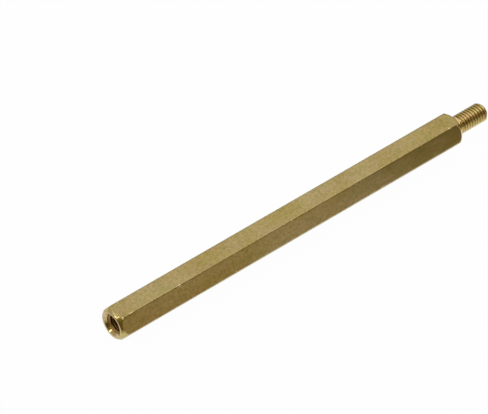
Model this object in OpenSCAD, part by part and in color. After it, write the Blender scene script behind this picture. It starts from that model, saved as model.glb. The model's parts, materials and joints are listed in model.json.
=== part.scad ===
// Male-female hex standoff: one length of hexagon bar, turned, drilled and tapped at one end,
// and turned down to a threaded stud at the other.
// It lies along X on one of its flats: tapped end at -X, stud at +X, the lower flat on z = 0.
// The solid carries the true section, chamfers, bore and stud. The thread's helix is left out,
// so the bore stands at the tapping size and the stud at the thread's outside diameter.

/* [Hexagon bar] */
// Width of the bar across its flats
across_flats = 5; // [4.6:0.1:8]
// Length of the hexagon body, from the tapped end's face to the shoulder
body_length = 65; // [20:1:100]
// How far the six long edges are blunted, measured on the radius
edge_blunting = 0.03; // [0.01:0.01:0.1]

/* [End chamfers] */
// How far each end's chamfer comes in from the sharp corners of the hexagon
chamfer_width = 0.65; // [0.35:0.05:0.7]
// How far each end's chamfer runs back along the sharp corners of the hexagon
chamfer_length = 0.8; // [0.3:0.05:1.5]

/* [Thread] */
// Outside diameter of the thread, on the stud and in the tapped bore
thread_diameter = 3; // [2:0.1:3.2]
// Pitch of the thread
thread_pitch = 0.5; // [0.35:0.05:0.6]

/* [Tapped bore] */
// Depth of the drilled hole, from the end face to the end of its straight wall
bore_depth = 10; // [4:0.5:18]
// How much wider than the thread the countersink's mouth is
countersink_allowance = 0.8; // [0.1:0.05:1]
// Full angle of the countersink
countersink_angle = 90; // [60:5:120]
// Full angle of the drill's point, left at the bottom of the hole
drill_point_angle = 118; // [90:1:140]

/* [Stud] */
// Length of the stud, from the shoulder to its tip
stud_length = 6; // [3:0.5:12]
// Length of the plain relief neck between the shoulder and the thread
relief_length = 0.3; // [0.2:0.1:1]
// Depth of the relief neck below the thread's outside, measured on the radius
relief_depth = 0.3; // [0.1:0.05:0.4]
// Chamfer at the stud's tip, along the stud and on the radius alike
tip_chamfer = 0.5; // [0.2:0.05:0.7]

/* [Hidden] */

brass = [0.69, 0.60, 0.38];
round_sides = 96;
hexagon_sides = 6;
// How far a cutting or joining solid runs past the face that it crosses
overlap = 1;

// Hexagon and chamfers
corner_radius = across_flats / 2 / cos(180 / hexagon_sides);
blunt_radius = corner_radius - edge_blunting;
face_radius = corner_radius - chamfer_width;
blunt_chamfer_length = chamfer_length * (blunt_radius - face_radius) / chamfer_width;

// Bore
bore_radius = (thread_diameter - thread_pitch) / 2;
countersink_radius = (thread_diameter + countersink_allowance) / 2;
countersink_slope = tan(countersink_angle / 2);
countersink_depth = (countersink_radius - bore_radius) / countersink_slope;
drill_point_length = bore_radius / tan(drill_point_angle / 2);

// Stud
stud_radius = thread_diameter / 2;
relief_radius = stud_radius - relief_depth;
thread_start = relief_length + relief_depth;

total_length = body_length + stud_length;

// Lays a solid that stands on z = 0 along X, with the whole part centred over the origin
// and its lower flat on z = 0.
module laid_along_x() {
    translate([-total_length / 2, 0, across_flats / 2])
        rotate([0, 90, 0])
            children();
}

// The bar itself, longer than the body at both ends. Two of its flats face up and down once it lies.
module hexagon_bar() {
    translate([0, 0, -overlap])
        rotate([0, 0, 180 / hexagon_sides])
            cylinder(r = corner_radius, h = body_length + 2 * overlap, $fn = hexagon_sides);
}

// What the lathe leaves of a round bar: the blunted corners' cylinder with a chamfer at each end.
module turned_envelope() {
    rotate_extrude($fn = round_sides)
        polygon([
            [0, 0],
            [face_radius, 0],
            [blunt_radius, blunt_chamfer_length],
            [blunt_radius, body_length - blunt_chamfer_length],
            [face_radius, body_length],
            [0, body_length]
        ]);
}

// Countersink, drilled wall and drill point, as one cutting solid.
module bore_cut() {
    rotate_extrude($fn = round_sides)
        polygon([
            [0, -overlap],
            [countersink_radius + overlap * countersink_slope, -overlap],
            [bore_radius, countersink_depth],
            [bore_radius, bore_depth],
            [0, bore_depth + drill_point_length]
        ]);
}

// Relief neck, thread blank and chamfered tip. It starts inside the body, below the shoulder.
module stud() {
    translate([0, 0, body_length])
        rotate_extrude($fn = round_sides)
            polygon([
                [0, -overlap],
                [relief_radius, -overlap],
                [relief_radius, relief_length],
                [stud_radius, thread_start],
                [stud_radius, stud_length - tip_chamfer],
                [stud_radius - tip_chamfer, stud_length],
                [0, stud_length]
            ]);
}

// The whole standoff is one turned piece.
module standoff() {
    color(brass)
        laid_along_x() {
            difference() {
                intersection() {
                    hexagon_bar();
                    turned_envelope();
                }
                bore_cut();
            }
            stud();
        }
}

standoff();
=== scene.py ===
"""Looks of a brass male-female hexagon standoff: its turned ends, cut threads and drawn flats."""
import json
import math

import bmesh
import bpy
from mathutils import Matrix, Vector


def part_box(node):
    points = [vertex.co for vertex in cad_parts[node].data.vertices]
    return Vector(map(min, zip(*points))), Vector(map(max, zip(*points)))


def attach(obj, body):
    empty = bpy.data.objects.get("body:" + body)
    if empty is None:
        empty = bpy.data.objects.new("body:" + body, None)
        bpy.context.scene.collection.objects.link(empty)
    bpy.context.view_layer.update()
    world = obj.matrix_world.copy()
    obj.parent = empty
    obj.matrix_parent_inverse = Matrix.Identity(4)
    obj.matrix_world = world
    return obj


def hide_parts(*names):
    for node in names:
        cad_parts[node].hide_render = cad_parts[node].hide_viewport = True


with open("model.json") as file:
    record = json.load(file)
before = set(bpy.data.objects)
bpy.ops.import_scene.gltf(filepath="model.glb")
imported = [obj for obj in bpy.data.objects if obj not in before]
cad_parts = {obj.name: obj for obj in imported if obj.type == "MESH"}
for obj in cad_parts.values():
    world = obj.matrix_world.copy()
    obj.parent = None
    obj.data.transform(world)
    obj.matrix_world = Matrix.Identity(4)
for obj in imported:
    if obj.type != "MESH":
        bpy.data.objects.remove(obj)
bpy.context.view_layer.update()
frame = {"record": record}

MM = 0.001
NODE = "standoff"

# ---------------------------------------------------------------- sizes, in metres

mounts = {m["name"]: m for m in frame["record"]["mounts"]}
low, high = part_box(NODE)
AXIS_HEIGHT = (low.z + high.z) / 2

# The end face's radius is half the width across corners less the bevel. The bevel's slope is how far it
# goes along the bar against how far in. A groove's size is its depth.
SIZES = {
    "Tapped End": low.x,
    "Axis Height": AXIS_HEIGHT,
    "Across Flats": high.z - low.z,
    "Corner Radius": 0.2 * MM,
    "Body Length": 65 * MM,
    "Face Radius": 2.237 * MM,
    "Chamfer Slope": 0.8 / 0.65,
    "Thread Pitch": 0.5 * MM,
    "Bore Radius": mounts["tapped_bore"]["dims"]["r_mm"] * MM,
    "Bore Depth": 10 * MM,
    "Tapped Depth": 8 * MM,
    "Bore Groove": 0.26 * MM,
    "Countersink Radius": 1.9 * MM,
    "Countersink Depth": 0.65 * MM,
    "Drill Point": 0.751 * MM,
    "Stud Radius": mounts["threaded_stud"]["dims"]["r_mm"] * MM,
    "Stud Length": 6 * MM,
    "Stud Groove": 0.3 * MM,
    "Neck Length": 0.3 * MM,
    "Neck Depth": 0.3 * MM,
    "Tip Chamfer": 0.5 * MM,
}
# Distance from a sharp edge to the first row of points beside it
SOFT_EDGE = 0.02 * MM
# Half the angle that one flat of the hexagon spans
HALF_FLAT = math.radians(30)
# Bruised corner tips: how far along the bar, how deep as a share of that, and how far around in radians
BRUISE, BRUISE_DEPTH, BRUISE_ANGLE = 0.3 * MM, 0.22, 0.09
# How far around a corner the nicks are painted a brighter brass, partly as wear and partly as painted
# highlight, in radians: fully, and at most
RUBBED_GLINT_ANGLE, RUBBED_GLINT_REACH = 0.02, 0.11
# Swell of the bevels at their middle, as a share of their rise
BEVEL_CROWN = 0.03
# Where a thread's groove is at full depth and where it ends, off its middle, as shares of half a pitch
BORE_ROOT, BORE_CREST = 0.12, 0.72
STUD_ROOT, STUD_CREST = 0.2, 0.86
# Over how many pitches each thread fades at its inner end
BORE_FADE, STUD_FADE = 1.5, 0.7

# The turned outline is a chain of cuts, numbered from the bottom of the bore to the tip of the stud
(DRILL_POINT, PLAIN_WALL, TAPPED_WALL, COUNTERSINK, END_FACE, END_BEVEL, FLATS, SHOULDER_BEVEL, SHOULDER,
 NECK, NECK_CONE, STUD_THREAD, TIP_CHAMFER, TIP_FACE, ALL_CUTS) = range(15)


# ---------------------------------------------------------------- node helpers

class Number:
    """A changing number in a node tree, so that a rule reads as a formula."""

    def __init__(self, tree, socket):
        self.tree, self.socket = tree, socket

    def done(self, operation, *others):
        node = self.tree.nodes.new("ShaderNodeMath")
        node.operation = operation
        for slot, value in zip(node.inputs, (self,) + others):
            fill(self.tree, slot, value)
        return Number(self.tree, node.outputs[0])

    def __add__(self, other):
        return self.done("ADD", other)

    def __sub__(self, other):
        return self.done("SUBTRACT", other)

    def __mul__(self, other):
        return self.done("MULTIPLY", other)

    def __truediv__(self, other):
        return self.done("DIVIDE", other)

    def __rsub__(self, other):
        return self * -1 + other

    __radd__ = __add__

    def abs(self):
        return self.done("ABSOLUTE")

    def sin(self):
        return self.done("SINE")

    def cos(self):
        return self.done("COSINE")

    def below(self, other):
        return self.done("LESS_THAN", other)

    def least(self, other):
        return self.done("MINIMUM", other)

    def most(self, other):
        return self.done("MAXIMUM", other)

    def wrapped(self, half):
        return self.done("WRAP", half, -half)

    def eased(self, start, end):
        """0 at start and 1 at end, with a soft turn at both."""
        node = self.tree.nodes.new("ShaderNodeMapRange")
        node.interpolation_type = "SMOOTHSTEP"
        fill(self.tree, node.inputs["Value"], self)
        fill(self.tree, node.inputs["From Min"], start)
        fill(self.tree, node.inputs["From Max"], end)
        return Number(self.tree, node.outputs["Result"])

    def share(self):
        """Held between 0 and 1."""
        return self.most(0.0).least(1.0)


def fill(tree, slot, value):
    """Sets an input, by a link or as a plain value."""
    if isinstance(value, Number):
        value = value.socket
    if isinstance(value, bpy.types.NodeSocket):
        tree.links.new(value, slot)
    else:
        slot.default_value = value


def place(tree, kind, settings=None, **values):
    """A new node with its settings made and its inputs filled. An input's name has _ for a space."""
    node = tree.nodes.new(kind)
    for name, value in (settings or {}).items():
        setattr(node, name, value)
    for name, value in values.items():
        fill(tree, node.inputs[name.replace("_", " ")], value)
    return node


# ---------------------------------------------------------------- the standoff's shape

# Steps around, over each rounded corner and over each flat
AROUND_CORNER, AROUND_FLAT = 6, 18
# How far off a corner's middle the steps over the flats start, in halves of the rounded part
CORNER_HOLD = 1.6
# Rows for one turn of each thread
ROWS_PER_BORE_TURN, ROWS_PER_STUD_TURN = 12, 18
# Length of a slanted cut against how far out it goes: a 45 degree cone, and the bevel at a corner
CONE_SLANT, BEVEL_SLANT = 1.4, 1.5
# Rows close to each end of a cut, in soft edges: on the flats, and elsewhere
FLATS_EDGE_ROWS, EDGE_ROWS = (1, 3, 5, 7.5, 11, 16), (1, 3)


def turns_around():
    """Shares of a full turn at which each row has a point: close together at the hexagon's corners."""
    half, radius = SIZES["Across Flats"] / 2, SIZES["Corner Radius"]
    centre = (half - radius) / math.cos(HALF_FLAT)
    edge = math.degrees(math.atan2(radius * math.sin(HALF_FLAT), centre + radius * math.cos(HALF_FLAT)))
    hold = edge * CORNER_HOLD
    sector = [-edge + 2 * edge * i / AROUND_CORNER for i in range(AROUND_CORNER + 1)]
    sector += [hold + (60 - 2 * hold) * i / AROUND_FLAT for i in range(AROUND_FLAT + 1)]
    return [((60 * k + a) / 360) % 1.0 for k in range(6) for a in sector]


def rows_along():
    """Where each row lies along the turned outline: the whole part is the number of its cut, and the
    fraction is how far through that cut the row is."""
    s = SIZES
    rise = s["Across Flats"] / 2 - s["Face Radius"]
    bore_rows = round((s["Tapped Depth"] - s["Countersink Depth"]) / s["Thread Pitch"] * ROWS_PER_BORE_TURN)
    thread = s["Stud Length"] - s["Neck Length"] - s["Neck Depth"] - s["Tip Chamfer"]
    stud_rows = round(thread / s["Thread Pitch"] * ROWS_PER_STUD_TURN)
    # each cut's length, and its rows
    cuts = [
        (s["Bore Radius"], 5),
        (s["Bore Depth"] - s["Tapped Depth"], 4),
        (s["Tapped Depth"] - s["Countersink Depth"], bore_rows),
        (s["Countersink Depth"] * CONE_SLANT, 10),
        (s["Face Radius"] - s["Countersink Radius"], 4),
        (rise * BEVEL_SLANT, 9),
        (s["Body Length"], 14),
        (rise * BEVEL_SLANT, 9),
        (s["Face Radius"] - s["Stud Radius"] + s["Neck Depth"], 5),
        (s["Neck Length"], 5),
        (s["Neck Depth"] * CONE_SLANT, 8),
        (thread, stud_rows),
        (s["Tip Chamfer"] * CONE_SLANT, 16),
        (s["Stud Radius"] - s["Tip Chamfer"], 5),
    ]
    rows = []
    for number, (length, count) in enumerate(cuts):
        edge = SOFT_EDGE / length
        near = [edge * step for step in (FLATS_EDGE_ROWS if number == FLATS else EDGE_ROWS)]
        hold = near.pop()
        inner = [hold + (1 - 2 * hold) * i / count for i in range(count + 1)]
        rows += [number + share for share in near + inner + [1 - share for share in reversed(near)]]
    return rows


def blank():
    """A closed sleeve of faces with no shape yet. Each point knows its place along the cuts and around."""
    rows, turns = rows_along(), turns_around()
    around = len(turns)
    mesh = bpy.data.meshes.new("standoff_blank")
    faces = []
    for i in range(len(rows) - 1):
        for j in range(around):
            k = (j + 1) % around
            faces.append((i * around + j, i * around + k, (i + 1) * around + k, (i + 1) * around + j))
    first, last = len(rows) * around, len(rows) * around + 1
    top = (len(rows) - 1) * around
    for j in range(around):
        k = (j + 1) % around
        faces.append((first, k, j))
        faces.append((last, top + j, top + k))
    mesh.from_pydata([(0, 0, 0)] * (last + 1), [], faces)
    along = [row for row in rows for _ in turns] + [0.0, float(ALL_CUTS)]
    turned = [turn for _ in rows for turn in turns] + [0.0, 0.0]
    for name, values in (("cut", along), ("turn", turned)):
        mesh.attributes.new(name, "FLOAT", "POINT").data.foreach_set("value", values)
    return bpy.data.objects.new("standoff_blank", mesh)


def groove(away, root, crest):
    """Depth share of a thread's groove, from how far off its middle a point lies, 0 to 1."""
    return away.eased(crest, root)


def shape_tree(materials):
    """The rule that gives the blank its shape, from named sizes."""
    tree = bpy.data.node_groups.new("turned hexagon standoff", "GeometryNodeTree")
    tree.is_modifier = True
    tree.interface.new_socket("Geometry", in_out="INPUT", socket_type="NodeSocketGeometry")
    for name in SIZES:
        tree.interface.new_socket(name, in_out="INPUT", socket_type="NodeSocketFloat")
    tree.interface.new_socket("Geometry", in_out="OUTPUT", socket_type="NodeSocketGeometry")
    given = tree.nodes.new("NodeGroupInput")
    size = {name: Number(tree, given.outputs[name]) for name in SIZES}

    def read(name):
        node = place(tree, "GeometryNodeInputNamedAttribute", {"data_type": "FLOAT"}, Name=name)
        return Number(tree, node.outputs["Attribute"])

    cut, turn = read("cut"), read("turn")
    angle = turn * (2 * math.pi)

    # the hexagon bar: how far out its skin is at each angle
    off_corner = angle.wrapped(HALF_FLAT).abs()
    half = size["Across Flats"] * 0.5
    corner = size["Corner Radius"]
    centre = (half - corner) * (1 / math.cos(HALF_FLAT))
    flat = half / (HALF_FLAT - off_corner).cos()
    sideways = centre * off_corner.sin()
    rounded = centre * off_corner.cos() + (corner * corner - sideways * sideways).most(0.0).done("SQRT")
    touching = (corner * math.sin(HALF_FLAT)).done("ARCTAN2", centre + corner * math.cos(HALF_FLAT))
    skin = flat + off_corner.below(touching) * (rounded - flat)
    rise = skin - size["Face Radius"]
    run = rise * size["Chamfer Slope"]

    # each cut's move along and outwards, from the bottom of the bore to the tip of the stud
    thread_length = size["Stud Length"] - size["Neck Length"] - size["Neck Depth"] - size["Tip Chamfer"]
    neck_radius = size["Stud Radius"] - size["Neck Depth"]
    nothing = size["Bore Depth"] * 0.0
    moves = [
        (size["Drill Point"] * -1, size["Bore Radius"]),
        (size["Tapped Depth"] - size["Bore Depth"], nothing),
        (size["Countersink Depth"] - size["Tapped Depth"], nothing),
        (size["Countersink Depth"] * -1, size["Countersink Radius"] - size["Bore Radius"]),
        (nothing, size["Face Radius"] - size["Countersink Radius"]),
        (run, rise),
        (size["Body Length"] - run * 2, nothing),
        (run, rise * -1),
        (nothing, neck_radius - size["Face Radius"]),
        (size["Neck Length"], nothing),
        (size["Neck Depth"], size["Neck Depth"]),
        (thread_length, nothing),
        (size["Tip Chamfer"], size["Tip Chamfer"] * -1),
        (nothing, size["Tip Chamfer"] - size["Stud Radius"]),
    ]
    along = size["Bore Depth"] + size["Drill Point"]
    out = nothing
    for number, (forwards, outwards) in enumerate(moves):
        passed = (cut - float(number)).share()
        along = along + passed * forwards
        out = out + passed * outwards

    # tumbling has left the bevels slightly round
    for bevel in (END_BEVEL, SHOULDER_BEVEL):
        passed = (cut - bevel).share()
        out = out + passed * (1 - passed) * rise * (BEVEL_CROWN * 4)

    # the tips of the bar's corners are a little bruised at both ends
    from_tip = (along - run).abs().least((along + run - size["Body Length"]).abs())
    on_bar = (1 - cut.below(END_BEVEL)) * cut.below(SHOULDER)
    bruise = off_corner.eased(BRUISE_ANGLE, 0.0) * from_tip.eased(BRUISE, 0.0) * on_bar
    out = out - bruise * (BRUISE * BRUISE_DEPTH)

    # the threads: one right-hand helix in the bore and one on the stud
    off_groove = (along / size["Thread Pitch"] - turn).wrapped(0.5).abs() * 2
    tapped = ((size["Tapped Depth"] - along) / (size["Thread Pitch"] * BORE_FADE)).share()
    bore_groove = size["Bore Groove"] * groove(off_groove, BORE_ROOT, BORE_CREST)
    bore_wall = size["Bore Radius"] + bore_groove * tapped
    thread_start = size["Body Length"] + size["Neck Length"] + size["Neck Depth"]
    run_out = (along - thread_start).eased(0.0, size["Thread Pitch"] * STUD_FADE)
    stud_groove = size["Stud Groove"] * groove(off_groove, STUD_ROOT, STUD_CREST)
    stud_wall = size["Stud Radius"] - stud_groove * run_out
    in_bore = cut.below(END_FACE) * (1 - cut.below(PLAIN_WALL))
    on_stud = 1 - cut.below(NECK_CONE)
    out = out + in_bore * (bore_wall - out).most(0.0) - on_stud * (out - stud_wall).most(0.0)

    point = place(tree, "ShaderNodeCombineXYZ", X=along + size["Tapped End"], Y=out * angle.cos(),
                  Z=out * angle.sin() + size["Axis Height"])
    shaped = place(tree, "GeometryNodeSetPosition", Geometry=given.outputs["Geometry"],
                   Position=point.outputs[0])

    # kept for the finishes: how near a point is to a corner of the bar
    near_corner = off_corner.eased(RUBBED_GLINT_REACH, RUBBED_GLINT_ANGLE) * on_bar
    marked = place(tree, "GeometryNodeStoreNamedAttribute", {"data_type": "FLOAT", "domain": "POINT"},
                   Geometry=shaped.outputs[0], Name="corner", Value=near_corner)
    smooth = place(tree, "GeometryNodeSetShadeSmooth", Geometry=marked.outputs[0])
    whole = place(tree, "GeometryNodeRealizeInstances", Geometry=smooth.outputs[0])
    dressed = whole.outputs[0]
    for material, start, end in materials:
        chosen = (1 - cut.below(start)) * cut.below(end)
        dressed = place(tree, "GeometryNodeSetMaterial", Geometry=dressed, Selection=chosen,
                        Material=material).outputs[0]
    result = tree.nodes.new("NodeGroupOutput")
    tree.links.new(dressed, result.inputs[0])
    return tree


def plain_mesh(worked, name):
    """The finished shape as a mesh of its own, closed, with its faces outwards."""
    scene = bpy.context.scene
    scene.collection.objects.link(worked)
    bpy.context.view_layer.update()
    evaluated = worked.evaluated_get(bpy.context.evaluated_depsgraph_get())
    mesh = bpy.data.meshes.new_from_object(evaluated)
    mesh.name = name
    for modifier in list(worked.modifiers):
        worked.modifiers.remove(modifier)
    bpy.data.objects.remove(worked)
    shell = bmesh.new()
    shell.from_mesh(mesh)
    bmesh.ops.recalc_face_normals(shell, faces=shell.faces)
    shell.to_mesh(mesh)
    shell.free()
    piece = bpy.data.objects.new(name, mesh)
    scene.collection.objects.link(piece)
    return piece


# ---------------------------------------------------------------- finishes

# Nicks on the bar's corners, painted a brighter brass partly as wear and partly as painted highlight: the
# scale of their noise, and the values from which it starts to show and is full
NICK_SCALE, NICK_START, NICK_FULL = 900.0, 0.67, 0.72
# How much less rough a nick is
NICK_SHINE = 0.08
# Lathe rings: their distance on a wall against that on a face, and the scale and the reach of their waver
FACE_FEED, WAVER_SCALE, WAVER_TURN = 0.7, 900.0, 6.0


def new_group(name, inputs, outputs):
    """An empty shader node group with named sockets, its input node and its output node."""
    group = bpy.data.node_groups.new(name, "ShaderNodeTree")
    for label, kind, value in inputs:
        socket = group.interface.new_socket(label, in_out="INPUT", socket_type=kind)
        if value is not None:
            socket.default_value = value
    for label, kind in outputs:
        group.interface.new_socket(label, in_out="OUTPUT", socket_type=kind)
    return group, group.nodes.new("NodeGroupInput"), group.nodes.new("NodeGroupOutput")


def noise(tree, where, scale, detail=3.0, rough=0.55):
    """Cloudy noise between 0 and 1."""
    node = place(tree, "ShaderNodeTexNoise", Vector=where, Scale=scale, Detail=detail, Roughness=rough)
    return Number(tree, node.outputs[0])


def stretched(tree, where, amounts, moved=(0.0, 0.0, 0.0)):
    """The place at which a pattern is read, scaled along each axis and moved."""
    node = place(tree, "ShaderNodeMapping", Vector=where, Scale=amounts, Location=moved)
    return node.outputs[0]


def mixed(tree, share, first, second):
    """A colour between first and second. The Mix node names its sockets alike, so they go by number."""
    node = place(tree, "ShaderNodeMix", {"data_type": "RGBA"})
    fill(tree, node.inputs[0], share)
    fill(tree, node.inputs[6], first)
    fill(tree, node.inputs[7], second)
    return node.outputs[2]


def stain_group():
    """Uneven colour of tumbled brass: patches of two tints, fine dark specks, and slow paler stretches."""
    group, given, out = new_group(
        "brass stain",
        [("Where", "NodeSocketVector", None), ("Metal", "NodeSocketColor", None),
         ("Rosy", "NodeSocketColor", None), ("Olive", "NodeSocketColor", None),
         ("Patch Scale", "NodeSocketFloat", 300.0), ("Patches", "NodeSocketFloat", 0.6),
         ("Specks", "NodeSocketFloat", 0.3)],
        [("Color", "NodeSocketColor"), ("Mask", "NodeSocketFloat")])
    where = given.outputs["Where"]
    scale = Number(group, given.outputs["Patch Scale"])
    patches = Number(group, given.outputs["Patches"])
    specks = Number(group, given.outputs["Specks"])
    lengthwise = stretched(group, where, (0.5, 1.0, 1.0))
    elsewhere = stretched(group, where, (0.6, 1.0, 1.0), (0.013, 0.027, 0.041))
    # each layer: its scale against that of the patches, and the values over which it fades in
    broad = noise(group, lengthwise, scale).eased(0.45, 0.66)
    other = noise(group, elsewhere, scale * 1.6).eased(0.48, 0.66)
    fine = noise(group, where, scale * 4.6, 4.0, 0.7).eased(0.38, 0.68)
    further = stretched(group, where, (1.0, 1.0, 1.0), (0.011, 0.0, 0.0))
    slow = noise(group, further, scale * 0.28, 1.0, 0.4).eased(0.35, 0.65)
    color = mixed(group, broad * patches, given.outputs["Metal"], given.outputs["Rosy"])
    color = mixed(group, other * patches, color, given.outputs["Olive"])
    dark = place(group, "ShaderNodeHueSaturation", Color=color, Saturation=1.12, Value=0.74)
    color = mixed(group, fine * specks, color, dark.outputs[0])
    pale = place(group, "ShaderNodeHueSaturation", Color=color, Saturation=0.88, Value=1.12)
    color = mixed(group, slow * patches, color, pale.outputs[0])
    fill(group, out.inputs["Color"], color)
    fill(group, out.inputs["Mask"], broad * 0.5 + fine * 0.5)
    return group


def grain_group():
    """Fine surface relief: tumbling dents all over, and drawing lines along the bar."""
    group, given, out = new_group(
        "brass grain",
        [("Where", "NodeSocketVector", None), ("Dent Scale", "NodeSocketFloat", 2200.0),
         ("Dents", "NodeSocketFloat", 0.6), ("Lines", "NodeSocketFloat", 0.3)],
        [("Height", "NodeSocketFloat")])
    where = given.outputs["Where"]
    scale = Number(group, given.outputs["Dent Scale"])
    dents = noise(group, where, scale, 3.0, 0.6)
    lines = noise(group, stretched(group, where, (0.03, 1.0, 1.0)), scale * 1.7, 2.0, 0.5)
    fill(group, out.inputs["Height"], dents * Number(group, given.outputs["Dents"])
         + lines * Number(group, given.outputs["Lines"]))
    return group


def tool_mark_group():
    """Rings left by the lathe tool, around the bar's axis, on faces and on walls alike."""
    group, given, out = new_group(
        "lathe marks",
        [("Where", "NodeSocketVector", None), ("Axis Height", "NodeSocketFloat", 0.0),
         ("Feed", "NodeSocketFloat", 0.00012), ("Waver", "NodeSocketFloat", 0.5)],
        [("Height", "NodeSocketFloat")])
    split = place(group, "ShaderNodeSeparateXYZ", Vector=given.outputs["Where"])
    x, y, z = (Number(group, socket) for socket in split.outputs)
    z = z - Number(group, given.outputs["Axis Height"])
    radius = (y * y + z * z).done("SQRT")
    wave = noise(group, given.outputs["Where"], WAVER_SCALE, 2.0) * Number(group, given.outputs["Waver"])
    passes = (x + radius * FACE_FEED) / Number(group, given.outputs["Feed"])
    rings = (passes * (2 * math.pi) + wave * WAVER_TURN).sin()
    fill(group, out.inputs["Height"], rings * 0.5 + 0.5)
    return group


STAIN, GRAIN, TOOL_MARKS = stain_group(), grain_group(), tool_mark_group()


def brass(name, metal, rosy, olive, patches=0.6, specks=0.3, patch_scale=300.0, rough=(0.3, 0.45),
          dents=0.6, lines=0.3, relief=0.02 * MM, rings=0.0, feed=0.12 * MM, worn_glint=None):
    """A brass finish. metal is its colour, rosy and olive are what it is stained with, and the last one,
    worn, is the colour of the nicks on its corners, brighter partly as wear and partly as painted highlight.
    rough is its roughness where clean and where stained, relief the depth of its dents, lines and rings,
    which are shares of that, and feed how far apart its rings lie."""
    material = bpy.data.materials.new(name)
    material.use_nodes = True
    tree = material.node_tree
    tree.nodes.clear()
    where = tree.nodes.new("ShaderNodeTexCoord").outputs["Object"]
    stain = place(tree, "ShaderNodeGroup", {"node_tree": STAIN}, Where=where, Metal=metal, Rosy=rosy,
                  Olive=olive, Patch_Scale=patch_scale, Patches=patches, Specks=specks)
    grain = place(tree, "ShaderNodeGroup", {"node_tree": GRAIN}, Where=where, Dents=dents, Lines=lines)
    color = stain.outputs["Color"]
    mask = Number(tree, stain.outputs["Mask"])
    roughness = rough[0] + mask * (rough[1] - rough[0])
    # corner nicks take a brighter brass, partly as wear and partly as a painted highlight
    if worn_glint:
        corner = place(tree, "ShaderNodeAttribute", {"attribute_name": "corner"})
        nicks = noise(tree, where, NICK_SCALE, 2.0, 0.5).eased(NICK_START, NICK_FULL)
        rubbed_glint = Number(tree, corner.outputs["Fac"]) * nicks
        color = mixed(tree, rubbed_glint, color, worn_glint)
        roughness = roughness - rubbed_glint * NICK_SHINE
    height = Number(tree, grain.outputs["Height"])
    if rings:
        marks = place(tree, "ShaderNodeGroup", {"node_tree": TOOL_MARKS}, Where=where,
                      Axis_Height=AXIS_HEIGHT, Feed=feed)
        height = height + Number(tree, marks.outputs["Height"]) * rings
    bump = place(tree, "ShaderNodeBump", Height=height, Distance=relief, Strength=1.0)
    shader = place(tree, "ShaderNodeBsdfPrincipled", Base_Color=color, Metallic=1.0, Roughness=roughness,
                   Normal=bump.outputs[0])
    result = place(tree, "ShaderNodeOutputMaterial")
    tree.links.new(shader.outputs[0], result.inputs["Surface"])
    return material


def finishes():
    """The finishes and the stretch of cuts that each covers. Each is put on over those before it."""
    # the corner nicks of the flats and of the end bevel are painted a brighter brass, partly as wear and
    # partly as painted highlight
    flats = brass("drawn flats", (0.39, 0.298, 0.112, 1), (0.425, 0.31, 0.14, 1), (0.345, 0.278, 0.09, 1),
                  patches=0.75, patch_scale=520.0, specks=0.85, worn_glint=(0.62, 0.5, 0.27, 1))
    face = brass("turned end face", (0.52, 0.39, 0.18, 1), (0.56, 0.4, 0.2, 1), (0.44, 0.36, 0.13, 1),
                 rough=(0.16, 0.26), dents=0.25, lines=0.0, rings=0.4, relief=0.005 * MM)
    bevel = brass("turned bevel", (0.5, 0.41, 0.155, 1), (0.55, 0.42, 0.18, 1), (0.42, 0.37, 0.11, 1),
                  rough=(0.12, 0.2), dents=0.3, lines=0.0, rings=0.3, relief=0.005 * MM,
                  worn_glint=(0.6, 0.47, 0.24, 1))
    # a very bright brass, partly freshly cut metal and partly a painted highlight on the shoulder's edge and
    # the stud's first land
    fresh_lit = brass("fresh cut bevel", (0.78, 0.62, 0.34, 1), (0.78, 0.58, 0.34, 1), (0.66, 0.55, 0.26, 1),
                  rough=(0.14, 0.24), dents=0.3, lines=0.0, rings=0.3, relief=0.005 * MM)
    thread = brass("cut thread", (0.54, 0.42, 0.165, 1), (0.58, 0.39, 0.17, 1), (0.45, 0.4, 0.1, 1),
                   patches=0.8, patch_scale=700.0, rough=(0.2, 0.3), dents=0.3, lines=0.0, relief=0.008 * MM)
    bore = brass("tapped bore", (0.33, 0.205, 0.065, 1), (0.33, 0.18, 0.06, 1), (0.26, 0.175, 0.035, 1),
                 rough=(0.4, 0.55), dents=0.3, lines=0.0, relief=0.01 * MM)
    sink = brass("countersink", (0.52, 0.4, 0.19, 1), (0.52, 0.37, 0.18, 1), (0.42, 0.35, 0.12, 1),
                 rough=(0.1, 0.16), dents=0.2, lines=0.0, rings=0.2, relief=0.004 * MM)
    # the bore's thread reaches into the lower half of the countersink, and the shoulder bevel and the stud's
    # first land are painted a very bright brass, partly as freshly cut metal and partly as painted highlight
    thread_mouth = COUNTERSINK + 0.5
    thread_start = STUD_THREAD + 0.04
    return [(face, DRILL_POINT - 1, ALL_CUTS + 1),
            (bore, DRILL_POINT - 1, thread_mouth),
            (sink, thread_mouth, END_FACE),
            (bevel, END_BEVEL, FLATS),
            (flats, FLATS, SHOULDER_BEVEL),
            (fresh_lit, SHOULDER_BEVEL, SHOULDER),
            (thread, NECK, TIP_FACE),
            (fresh_lit, NECK_CONE, thread_start)]


# ---------------------------------------------------------------- the studio

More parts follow.
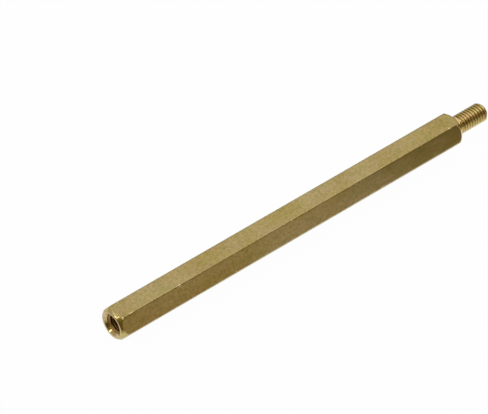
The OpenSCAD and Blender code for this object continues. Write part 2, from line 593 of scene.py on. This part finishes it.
# Tints of the cards
GREEN = (0.06, 0.075, 0.03, 1)
DARK_OLIVE = (0.1, 0.1, 0.04, 1)
DARK_BROWN = (0.13, 0.1, 0.05, 1)
BROWN = (0.2, 0.15, 0.07, 1)
UMBER = (0.22, 0.13, 0.025, 1)
DULL_BROWN = (0.24, 0.18, 0.1, 1)
HAY = (0.26, 0.21, 0.11, 1)
DARK_STRAW = (0.27, 0.2, 0.1, 1)
STRAW = (0.27, 0.21, 0.11, 1)
LIGHT_STRAW = (0.32, 0.25, 0.13, 1)
OLIVE = (0.3, 0.24, 0.09, 1)
KHAKI = (0.44, 0.34, 0.16, 1)
GREY = (0.34, 0.32, 0.25, 1)
TAN = (0.5, 0.42, 0.28, 1)
LIGHT_GREY = (0.52, 0.48, 0.38, 1)
CREAM = (0.64, 0.59, 0.46, 1)
PALE_SAND = (0.68, 0.62, 0.5, 1)
PALE_CREAM = (0.68, 0.63, 0.5, 1)
AMBER = (0.7, 0.55, 0.26, 1)
SAND = (0.86, 0.68, 0.46, 1)
PEACH = (0.96, 0.76, 0.52, 1)
WHITE = (1, 1, 1, 1)
# Light that the room gives to matt surfaces, where 1 is white
ROOM_LIGHT = 0.7
# How much of the floor's white is its own, and the shade of the rest, on which the shadow falls
FLOOR_GLOW, FLOOR_SHADE = 0.97, (0.86, 0.86, 0.86, 1)
FLOOR_REACH = 3.0
# Height of the cards that lie on the floor, and of the foot of those that start beside the part
CARD_HEIGHT, FOOT = 0.0006, 0.0005
# Distance of the screens where they stand up, and the number of flat panels in each
FAR, PANELS = 0.6, 24


def white_share(tree, full):
    """full for what the camera, a mirror or glass sees, and 0 for what lights the scene."""
    path = tree.nodes.new("ShaderNodeLightPath")
    seen = Number(tree, path.outputs["Is Camera Ray"])
    seen = seen.most(Number(tree, path.outputs["Is Glossy Ray"]))
    return seen.most(Number(tree, path.outputs["Is Transmission Ray"])) * full


def floor():
    """A plain white floor that keeps the part's soft shadow."""
    mesh = bpy.data.meshes.new("floor")
    reach = FLOOR_REACH
    mesh.from_pydata([(-reach, -reach, 0), (reach, -reach, 0), (reach, reach, 0), (-reach, reach, 0)], [],
                     [(0, 1, 2, 3)])
    board = bpy.data.objects.new("floor", mesh)
    bpy.context.scene.collection.objects.link(board)
    material = bpy.data.materials.new("white floor")
    material.use_nodes = True
    tree = material.node_tree
    tree.nodes.clear()
    diffuse = place(tree, "ShaderNodeBsdfDiffuse", Color=FLOOR_SHADE)
    glow = place(tree, "ShaderNodeEmission", Color=WHITE, Strength=1.0)
    blend = tree.nodes.new("ShaderNodeMixShader")
    fill(tree, blend.inputs[0], white_share(tree, FLOOR_GLOW))
    tree.links.new(diffuse.outputs[0], blend.inputs[1])
    tree.links.new(glow.outputs[0], blend.inputs[2])
    result = tree.nodes.new("ShaderNodeOutputMaterial")
    tree.links.new(blend.outputs[0], result.inputs["Surface"])
    mesh.materials.append(material)


def surroundings():
    """A white room: plain light on the floor, and white to the camera and to what shines."""
    world = bpy.data.worlds.new("white room")
    bpy.context.scene.world = world
    world.use_nodes = True
    tree = world.node_tree
    tree.nodes.clear()
    strength = white_share(tree, 1 - ROOM_LIGHT) + ROOM_LIGHT
    back = place(tree, "ShaderNodeBackground", Color=WHITE, Strength=strength)
    result = tree.nodes.new("ShaderNodeOutputWorld")
    tree.links.new(back.outputs[0], result.inputs["Surface"])


def card(name, points, faces, colors):
    """A plain card that only shiny surfaces see, as is usual where bare metal is lit. It has a colour at
    each point and fades between them."""
    mesh = bpy.data.meshes.new(name)
    mesh.from_pydata(points, [], faces)
    tint = mesh.attributes.new("tint", "FLOAT_COLOR", "POINT")
    tint.data.foreach_set("color", [value for color in colors for value in color])
    board = bpy.data.objects.new(name, mesh)
    bpy.context.scene.collection.objects.link(board)
    material = bpy.data.materials.new(name)
    material.use_nodes = True
    tree = material.node_tree
    tree.nodes.clear()
    shade = place(tree, "ShaderNodeAttribute", {"attribute_name": "tint"})
    glow = place(tree, "ShaderNodeEmission", Color=shade.outputs["Color"], Strength=1.0)
    result = tree.nodes.new("ShaderNodeOutputMaterial")
    tree.links.new(glow.outputs[0], result.inputs["Surface"])
    mesh.materials.append(material)
    board.visible_camera = False
    board.visible_diffuse = False
    board.visible_shadow = False


def floor_card(name, corners, colors):
    """A card that lies just over the floor. corners are its four points, as x and y."""
    card(name, [(x, y, CARD_HEIGHT) for x, y in corners], [(0, 1, 2, 3)], colors)


def screen(name, start, end, outline):
    """A curved card that stands around the part. start and end are degrees around, from +X towards +Y,
    and outline is its section from foot to top, each point as distance, height and colour."""
    points, faces, colors = [], [], []
    for i in range(PANELS + 1):
        turn = math.radians(start + (end - start) * i / PANELS)
        for away, up, color in outline:
            points.append((away * math.cos(turn), away * math.sin(turn), up))
            colors.append(color)
        if i:
            row = (i - 1) * len(outline)
            faces += [(row + k, row + len(outline) + k, row + len(outline) + k + 1, row + k + 1)
                      for k in range(len(outline) - 1)]
    card(name, points, faces, colors)


def soft_lamp(name, azimuth, elevation, distance, width, height, brightness):
    """A flat soft lamp that faces the part. brightness is that of its surface, where 1 is white."""
    data = bpy.data.lights.new(name, "AREA")
    data.shape = "RECTANGLE"
    data.size, data.size_y = width, height
    data.energy = brightness * math.pi * width * height
    lamp = bpy.data.objects.new(name, data)
    bpy.context.scene.collection.objects.link(lamp)
    a, e = math.radians(azimuth), math.radians(elevation)
    away = Vector((math.cos(a) * math.cos(e), math.sin(a) * math.cos(e), math.sin(e)))
    lamp.location = away * distance
    lamp.rotation_euler = away.to_track_quat("Z", "Y").to_euler()


def screens():
    """The tinted screens all round, from the part's left end towards its front, its right and its back."""
    screen("left_screen", 165, 192, [(0.038, FOOT, CREAM), (0.048, 0.0009, GREEN), (0.5, 0.02, GREEN),
                                     (FAR, 0.05, GREEN), (FAR, 0.14, OLIVE), (FAR, 0.68, OLIVE)])
    screen("side_screen", 192, 212, [(0.042, FOOT, UMBER), (0.3, 0.012, UMBER), (0.5, 0.02, GREEN),
                                     (FAR, 0.17, DARK_OLIVE), (FAR, 0.3, OLIVE), (FAR, 0.68, OLIVE)])
    screen("corner_screen", 212, 255, [(0.046, FOOT, UMBER), (0.5, 0.02, UMBER), (FAR, 0.1, UMBER),
                                       (FAR, 0.68, OLIVE)])
    screen("front_screen", 255, 350, [(FAR, 0.05, STRAW), (FAR, 0.3, LIGHT_STRAW), (FAR, 0.95, DARK_STRAW)])
    screen("side_wall", 255, 287, [(FAR, 0.0, KHAKI), (FAR, 0.05, STRAW)])
    screen("front_wall", 287, 301, [(FAR, 0.0, PEACH), (FAR, 0.05, SAND), (FAR, 0.09, STRAW)])
    screen("right_wall", 301, 350, [(FAR, 0.0, DULL_BROWN), (FAR, 0.05, STRAW)])
    screen("end_screen", 350, 390, [(FAR, 0.0, TAN), (FAR, 0.3, TAN)])
    screen("back_screen", 30, 85, [(0.06, FOOT, GREY), (0.5, 0.02, GREY), (FAR, 0.1, LIGHT_GREY),
                                   (FAR, 0.36, PALE_CREAM)])
    screen("far_screen", 85, 165, [(0.06, FOOT, CREAM), (0.5, 0.02, CREAM), (FAR, 0.1, CREAM),
                                   (FAR, 0.36, CREAM)])


def floor_cards():
    """Tinted cards on the floor behind, before and beyond the part, and one that stands before its stud."""
    floor_card("back_strip", [(-0.015, 0.006), (0.12, 0.006), (0.14, 0.08), (0.02, 0.08)], [GREY] * 4)
    floor_card("back_fade", [(-0.045, 0.006), (-0.015, 0.006), (0.02, 0.08), (-0.03, 0.08)],
               [WHITE, GREY, GREY, WHITE])
    floor_card("stud_strip", [(0.033, -0.004), (0.033, -0.08), (0.12, -0.08), (0.12, -0.004)],
               [PALE_SAND] * 4)
    floor_card("end_strip", [(0.0365, -0.02), (0.08, -0.02), (0.08, 0.03), (0.0365, 0.03)], [BROWN] * 4)
    floor_card("front_strip", [(-0.034, -0.0035), (-0.004, -0.0035), (0.022, -0.06), (-0.01, -0.06)],
               [AMBER, WHITE, WHITE, AMBER])
    card("far_flag", [(0.038, -0.06, 0.001), (0.2, -0.06, 0.001), (0.2, -0.06, 0.05), (0.038, -0.06, 0.05)],
         [(0, 1, 2, 3)], [DARK_BROWN, DARK_BROWN, HAY, HAY])


def lamps():
    """Two broad soft lamps from above, and three small ones whose glints show on the tapped end."""
    soft_lamp("overhead_lamp", 30, 55, 0.9, 0.44, 0.3, 0.23)
    soft_lamp("ridge_lamp", 4, 62, 0.9, 0.24, 0.16, 1.85)
    soft_lamp("side_lamp", 180, 37, 0.5, 0.05, 0.06, 4.5)
    soft_lamp("low_lamp", 168, 30, 0.5, 0.09, 0.06, 6.0)
    soft_lamp("front_lamp", 247, 62, 0.5, 0.1, 0.1, 6.0)


def camera():
    """Looks down on the part from in front of it and to the left, where its tapped end is."""
    data = bpy.data.cameras.new("camera")
    data.sensor_width, data.lens = 36.0, 383.3
    data.clip_start, data.clip_end = 0.01, 20.0
    azimuth, elevation, roll = math.radians(-44.03), math.radians(48.68), math.radians(6.12)
    distance, aim = 761.8 * MM, Vector((-5.9, 6.08, 2.74)) * MM
    back = Vector((math.sin(azimuth) * math.cos(elevation), -math.cos(azimuth) * math.cos(elevation),
                   math.sin(elevation)))
    level = Vector((math.cos(azimuth), math.sin(azimuth), 0))
    above = back.cross(level)
    right = level * math.cos(roll) + above * math.sin(roll)
    up = back.cross(right)
    turned = Matrix((right, up, back)).transposed().to_4x4()
    eye = bpy.data.objects.new("camera", data)
    eye.matrix_world = Matrix.Translation(aim + back * distance) @ turned
    bpy.context.scene.collection.objects.link(eye)
    bpy.context.scene.camera = eye


# ---------------------------------------------------------------- put together

work = blank()
tree = shape_tree(finishes())
modifier = work.modifiers.new("shape", "NODES")
modifier.node_group = tree
for socket in tree.interface.items_tree:
    if socket.name in SIZES and socket.in_out == "INPUT":
        modifier[socket.identifier] = SIZES[socket.name]
standoff = plain_mesh(work, "brass_standoff")
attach(standoff, "root")
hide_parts(NODE)

bpy.context.scene.view_settings.view_transform = "Standard"
floor()
surroundings()
screens()
floor_cards()
lamps()
camera()
